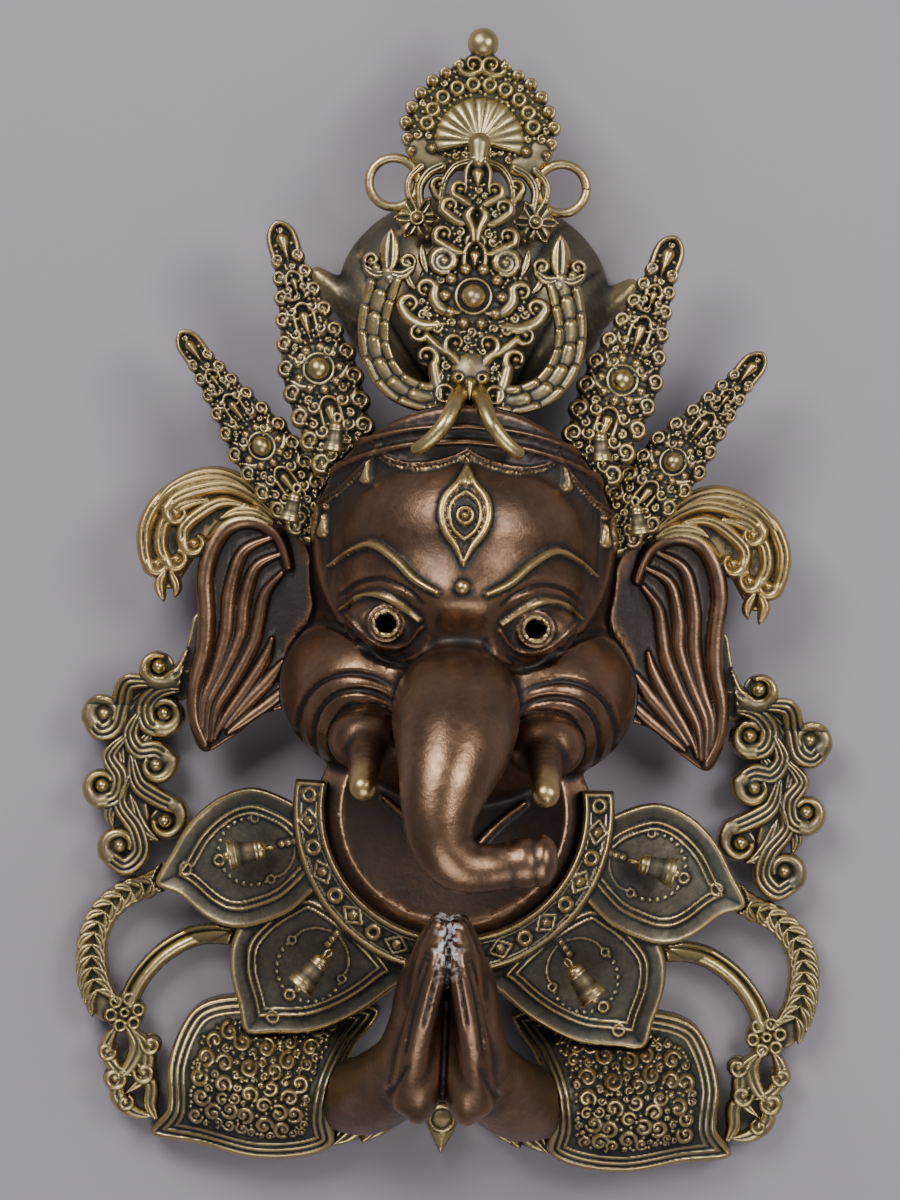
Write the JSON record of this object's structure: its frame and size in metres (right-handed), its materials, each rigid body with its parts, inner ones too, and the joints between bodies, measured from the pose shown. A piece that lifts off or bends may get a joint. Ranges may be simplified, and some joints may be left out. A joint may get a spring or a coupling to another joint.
{
  "type": "ganesha mask",
  "caption": "Cast brass elephant-faced wall mask with leafed crown, fan finial, fluted ears, studded petal collar, small bells and folded hands, lying on its back.",
  "frame": {"origin": "middle of the mask's bounding box, on the surface it lies on", "axes": "+Z out of the face, +Y up the mask from hands to crown, +X to the viewer's right"},
  "size_m": [0.3302, 0.503, 0.1675],
  "materials": {
    "copper_brown_skin": "smooth worn metal with a red-brown patina",
    "dark_brass": "carved brass with dark grey patina in the recesses",
    "bright_brass": "brass rubbed bright on its raised edges"
  },
  "bodies": {
    "root": {"face": "copper_brown_skin", "folded_hands": "copper_brown_skin", "ear_left": "copper_brown_skin", "ear_right": "copper_brown_skin", "crown_leaf_centre": "dark_brass", "topknot": "dark_brass", "collar": "dark_brass", "crown_leaf_inner_left": "dark_brass", "crown_leaf_inner_right": "dark_brass", "crown_leaf_outer_left": "dark_brass", "crown_leaf_outer_right": "dark_brass", "ribbon_left": "dark_brass", "ribbon_right": "dark_brass", "sleeve_left": "dark_brass", "sleeve_right": "dark_brass", "finial": "bright_brass", "base_petals": "bright_brass", "garland_left": "bright_brass", "garland_right": "bright_brass", "petal_bell_upper_left": "bright_brass", "petal_bell_upper_right": "bright_brass", "petal_bell_lower_left": "bright_brass", "petal_bell_lower_right": "bright_brass", "crown_bell_inner_left": "bright_brass", "crown_bell_inner_right": "bright_brass", "crown_bell_outer_left": "bright_brass", "crown_bell_outer_right": "bright_brass", "petal_bell_upper_left_clapper": "bright_brass", "petal_bell_upper_right_clapper": "bright_brass", "petal_bell_lower_left_clapper": "bright_brass", "petal_bell_lower_right_clapper": "bright_brass", "crown_bell_inner_left_clapper": "bright_brass", "crown_bell_inner_right_clapper": "bright_brass", "crown_bell_outer_left_clapper": "bright_brass", "crown_bell_outer_right_clapper": "bright_brass"}
  },
  "joints": []
}
